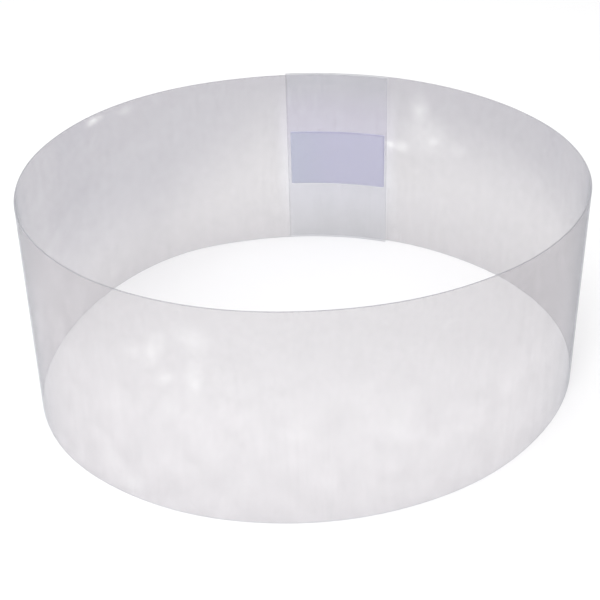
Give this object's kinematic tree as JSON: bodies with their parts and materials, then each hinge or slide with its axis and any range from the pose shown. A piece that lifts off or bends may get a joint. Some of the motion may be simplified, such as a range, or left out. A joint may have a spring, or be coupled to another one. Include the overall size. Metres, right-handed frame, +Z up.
{
  "type": "exercise ball ring",
  "caption": "Clear flexible plastic strip rolled into a standing ring and closed by hook and loop tape, to hold an exercise ball.",
  "frame": {"origin": "on the floor, in the middle of the ring", "axes": "+Z up along the ring's axis, +Y towards the overlap that closes the ring, +X to the right seen from the front"},
  "size_m": [0.417, 0.4188, 0.16],
  "materials": {
    "clear_pvc": "clear calendered PVC sheet, glossy, with faint handling marks",
    "tape_adhesive": "pressure-sensitive acrylic adhesive, seen through the clear sheet",
    "hook_tape": "woven nylon base with rows of small hooks",
    "loop_tape": "woven nylon base with brushed loop pile"
  },
  "bodies": {
    "strip_front": {"strip_front": "clear_pvc"},
    "strip_right_01": {"strip_right_01": "clear_pvc"},
    "strip_right_02": {"strip_right_02": "clear_pvc"},
    "strip_right_03": {"strip_right_03": "clear_pvc"},
    "strip_right_04": {"strip_right_04": "clear_pvc"},
    "strip_right_05": {"strip_right_05": "clear_pvc"},
    "strip_right_06": {"strip_right_06": "clear_pvc"},
    "strip_right_07": {"strip_right_07": "clear_pvc"},
    "strip_right_08": {"strip_right_08": "clear_pvc"},
    "strip_right_09": {"strip_right_09": "clear_pvc"},
    "strip_right_10": {"strip_right_10": "clear_pvc"},
    "strip_right_11": {"strip_right_11": "clear_pvc"},
    "outer_end": {"outer_end": "clear_pvc", "loop_adhesive": "tape_adhesive", "loop_tape": "loop_tape"},
    "strip_left_01": {"strip_left_01": "clear_pvc"},
    "strip_left_02": {"strip_left_02": "clear_pvc"},
    "strip_left_03": {"strip_left_03": "clear_pvc"},
    "strip_left_04": {"strip_left_04": "clear_pvc"},
    "strip_left_05": {"strip_left_05": "clear_pvc"},
    "strip_left_06": {"strip_left_06": "clear_pvc"},
    "strip_left_07": {"strip_left_07": "clear_pvc"},
    "strip_left_08": {"strip_left_08": "clear_pvc"},
    "strip_left_09": {"strip_left_09": "clear_pvc"},
    "strip_left_10": {"strip_left_10": "clear_pvc"},
    "strip_left_11": {"strip_left_11": "clear_pvc"},
    "inner_end": {"inner_end": "clear_pvc", "hook_adhesive": "tape_adhesive", "hook_tape": "hook_tape"}
  },
  "joints": [
    {"name": "unroll", "type": "hinge", "parent": "strip_front", "child": "strip_right_01", "pos_m": [0.02615, -0.20693, 0.08], "axis": [0, 0, -1], "range_deg": [-0.4, 14.4]},
    {"name": "bend_right_02", "type": "hinge", "parent": "strip_right_01", "child": "strip_right_02", "pos_m": [0.07687, -0.19405, 0.08], "axis": [0, 0, -1], "range_deg": [-0.4, 14.4]},
    {"name": "bend_right_03", "type": "hinge", "parent": "strip_right_02", "child": "strip_right_03", "pos_m": [0.12282, -0.16894, 0.08], "axis": [0, 0, -1], "range_deg": [-0.4, 14.4]},
    {"name": "bend_right_04", "type": "hinge", "parent": "strip_right_03", "child": "strip_right_04", "pos_m": [0.1611, -0.13317, 0.08], "axis": [0, 0, -1], "range_deg": [-0.4, 14.4]},
    {"name": "bend_right_05", "type": "hinge", "parent": "strip_right_04", "child": "strip_right_05", "pos_m": [0.1893, -0.08896, 0.08], "axis": [0, 0, -1], "range_deg": [-0.4, 14.4]},
    {"name": "bend_right_06", "type": "hinge", "parent": "strip_right_05", "child": "strip_right_06", "pos_m": [0.20562, -0.03909, 0.08], "axis": [0, 0, -1], "range_deg": [-0.4, 14.4]},
    {"name": "bend_right_07", "type": "hinge", "parent": "strip_right_06", "child": "strip_right_07", "pos_m": [0.20903, 0.01331, 0.08], "axis": [0, 0, -1], "range_deg": [-0.4, 14.4]},
    {"name": "bend_right_08", "type": "hinge", "parent": "strip_right_07", "child": "strip_right_08", "pos_m": [0.19928, 0.06494, 0.08], "axis": [0, 0, -1], "range_deg": [-0.4, 14.4]},
    {"name": "bend_right_09", "type": "hinge", "parent": "strip_right_08", "child": "strip_right_09", "pos_m": [0.17698, 0.11256, 0.08], "axis": [0, 0, -1], "range_deg": [-0.4, 14.4]},
    {"name": "bend_right_10", "type": "hinge", "parent": "strip_right_09", "child": "strip_right_10", "pos_m": [0.14351, 0.15316, 0.08], "axis": [0, 0, -1], "range_deg": [-0.4, 14.4]},
    {"name": "closure_peel", "type": "hinge", "parent": "strip_right_10", "child": "strip_right_11", "pos_m": [0.10096, 0.18418, 0.08], "axis": [0, 0, -1], "range_deg": [0, 60]},
    {"name": "bend_outer_end", "type": "hinge", "parent": "strip_right_11", "child": "outer_end", "pos_m": [0.052, 0.20365, 0.08], "axis": [0, 0, -1], "range_deg": [-1.04, 37.44]},
    {"name": "bend_left_01", "type": "hinge", "parent": "strip_front", "child": "strip_left_01", "pos_m": [-0.02613, -0.20678, 0.08], "axis": [0, 0, 1], "range_deg": [-0.4, 14.4]},
    {"name": "bend_left_02", "type": "hinge", "parent": "strip_left_01", "child": "strip_left_02", "pos_m": [-0.07671, -0.19364, 0.08], "axis": [0, 0, 1], "range_deg": [-0.4, 14.4]},
    {"name": "bend_left_03", "type": "hinge", "parent": "strip_left_02", "child": "strip_left_03", "pos_m": [-0.12239, -0.16835, 0.08], "axis": [0, 0, 1], "range_deg": [-0.4, 14.4]},
    {"name": "bend_left_04", "type": "hinge", "parent": "strip_left_03", "child": "strip_left_04", "pos_m": [-0.16031, -0.13251, 0.08], "axis": [0, 0, 1], "range_deg": [-0.4, 14.4]},
    {"name": "bend_left_05", "type": "hinge", "parent": "strip_left_04", "child": "strip_left_05", "pos_m": [-0.18811, -0.0884, 0.08], "axis": [0, 0, 1], "range_deg": [-0.4, 14.4]},
    {"name": "bend_left_06", "type": "hinge", "parent": "strip_left_05", "child": "strip_left_06", "pos_m": [-0.20404, -0.03879, 0.08], "axis": [0, 0, 1], "range_deg": [-0.4, 14.4]},
    {"name": "bend_left_07", "type": "hinge", "parent": "strip_left_06", "child": "strip_left_07", "pos_m": [-0.20713, 0.01319, 0.08], "axis": [0, 0, 1], "range_deg": [-0.4, 14.4]},
    {"name": "bend_left_08", "type": "hinge", "parent": "strip_left_07", "child": "strip_left_08", "pos_m": [-0.1972, 0.06426, 0.08], "axis": [0, 0, 1], "range_deg": [-0.4, 14.4]},
    {"name": "bend_left_09", "type": "hinge", "parent": "strip_left_08", "child": "strip_left_09", "pos_m": [-0.17488, 0.11122, 0.08], "axis": [0, 0, 1], "range_deg": [-0.4, 14.4]},
    {"name": "bend_left_10", "type": "hinge", "parent": "strip_left_09", "child": "strip_left_10", "pos_m": [-0.14161, 0.15113, 0.08], "axis": [0, 0, 1], "range_deg": [-0.4, 14.4]},
    {"name": "bend_left_11", "type": "hinge", "parent": "strip_left_10", "child": "strip_left_11", "pos_m": [-0.09949, 0.18148, 0.08], "axis": [0, 0, 1], "range_deg": [-0.4, 14.4]},
    {"name": "bend_inner_end", "type": "hinge", "parent": "strip_left_11", "child": "inner_end", "pos_m": [-0.05117, 0.20039, 0.08], "axis": [0, 0, 1], "range_deg": [-0.48, 17.28]}
  ],
  "couplings": [
    {"joint": "bend_right_02", "follows": "unroll", "ratio": 1},
    {"joint": "bend_right_03", "follows": "unroll", "ratio": 1},
    {"joint": "bend_right_04", "follows": "unroll", "ratio": 1},
    {"joint": "bend_right_05", "follows": "unroll", "ratio": 1},
    {"joint": "bend_right_06", "follows": "unroll", "ratio": 1},
    {"joint": "bend_right_07", "follows": "unroll", "ratio": 1},
    {"joint": "bend_right_08", "follows": "unroll", "ratio": 1},
    {"joint": "bend_right_09", "follows": "unroll", "ratio": 1},
    {"joint": "bend_right_10", "follows": "unroll", "ratio": 1},
    {"joint": "bend_outer_end", "follows": "unroll", "ratio": 2.6},
    {"joint": "bend_left_01", "follows": "unroll", "ratio": 1},
    {"joint": "bend_left_02", "follows": "unroll", "ratio": 1},
    {"joint": "bend_left_03", "follows": "unroll", "ratio": 1},
    {"joint": "bend_left_04", "follows": "unroll", "ratio": 1},
    {"joint": "bend_left_05", "follows": "unroll", "ratio": 1},
    {"joint": "bend_left_06", "follows": "unroll", "ratio": 1},
    {"joint": "bend_left_07", "follows": "unroll", "ratio": 1},
    {"joint": "bend_left_08", "follows": "unroll", "ratio": 1},
    {"joint": "bend_left_09", "follows": "unroll", "ratio": 1},
    {"joint": "bend_left_10", "follows": "unroll", "ratio": 1},
    {"joint": "bend_left_11", "follows": "unroll", "ratio": 1},
    {"joint": "bend_inner_end", "follows": "unroll", "ratio": 1.2}
  ]
}
